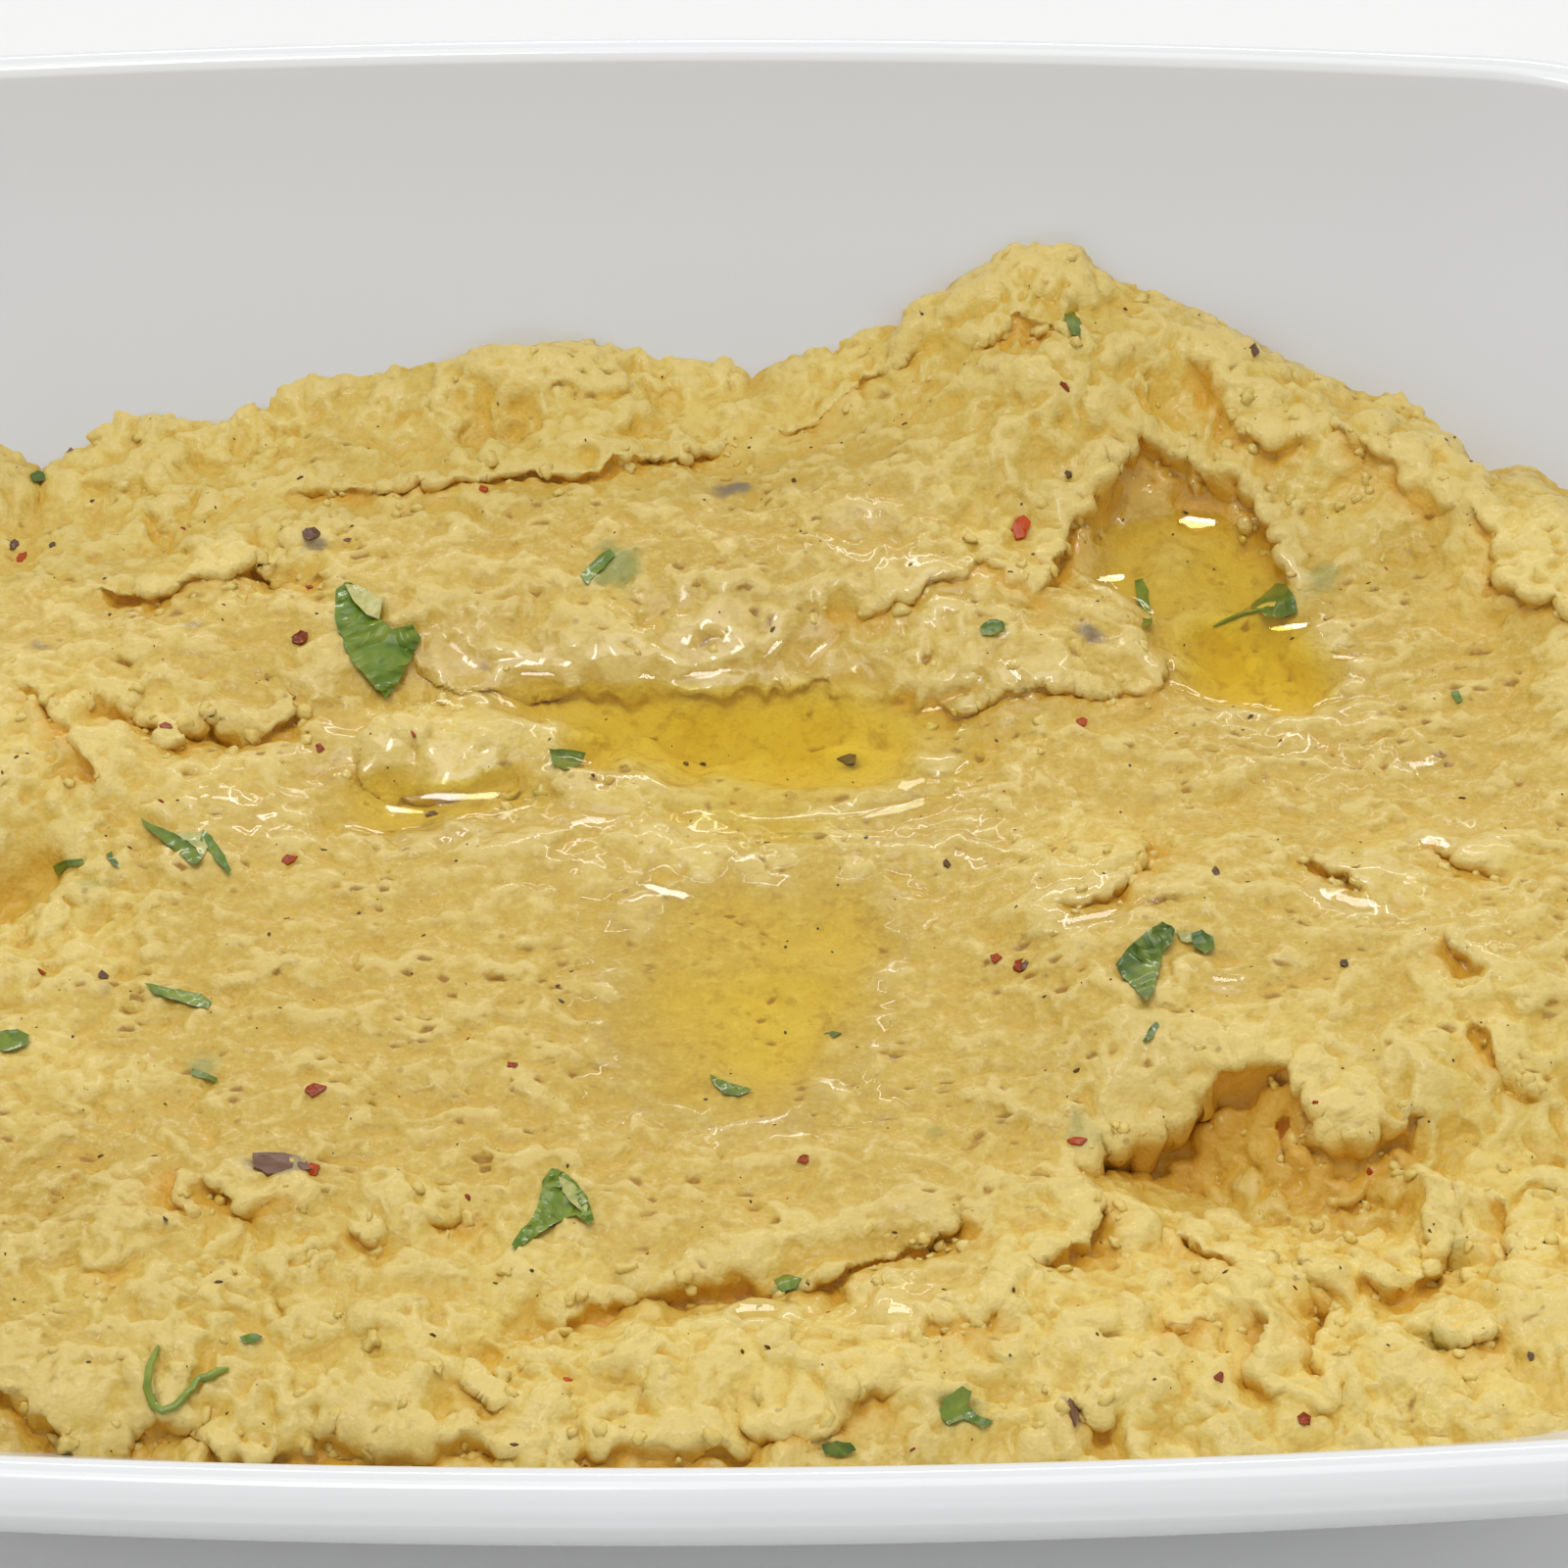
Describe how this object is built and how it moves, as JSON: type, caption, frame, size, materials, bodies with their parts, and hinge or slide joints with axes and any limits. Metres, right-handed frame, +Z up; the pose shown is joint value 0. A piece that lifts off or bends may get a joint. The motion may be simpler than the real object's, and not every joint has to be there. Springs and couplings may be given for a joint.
{
  "type": "hummus in a dish",
  "caption": "Coarse hummus with torn ridges, swept terraces and pooled olive oil, filling a white glazed oblong dish with flared, bowed sides and a foot ring; a dip set out to eat from.",
  "frame": {"origin": "centre of the dish's footprint on the table", "axes": "+X along the dish's long side, to the right as served; +Y away from the eater; +Z up"},
  "size_m": [0.21, 0.1648, 0.052],
  "materials": {
    "dish": "glossy white glaze",
    "hummus": "moist grainy paste",
    "oil": "clear yellow oil",
    "herb": "fresh leaf",
    "chilli": "dried flake",
    "speck": "dried spice"
  },
  "bodies": {
    "root": {"dish": "dish", "hummus": "hummus", "oil_trough": "oil", "oil_right": "oil", "oil_centre": "oil"}
  },
  "joints": []
}
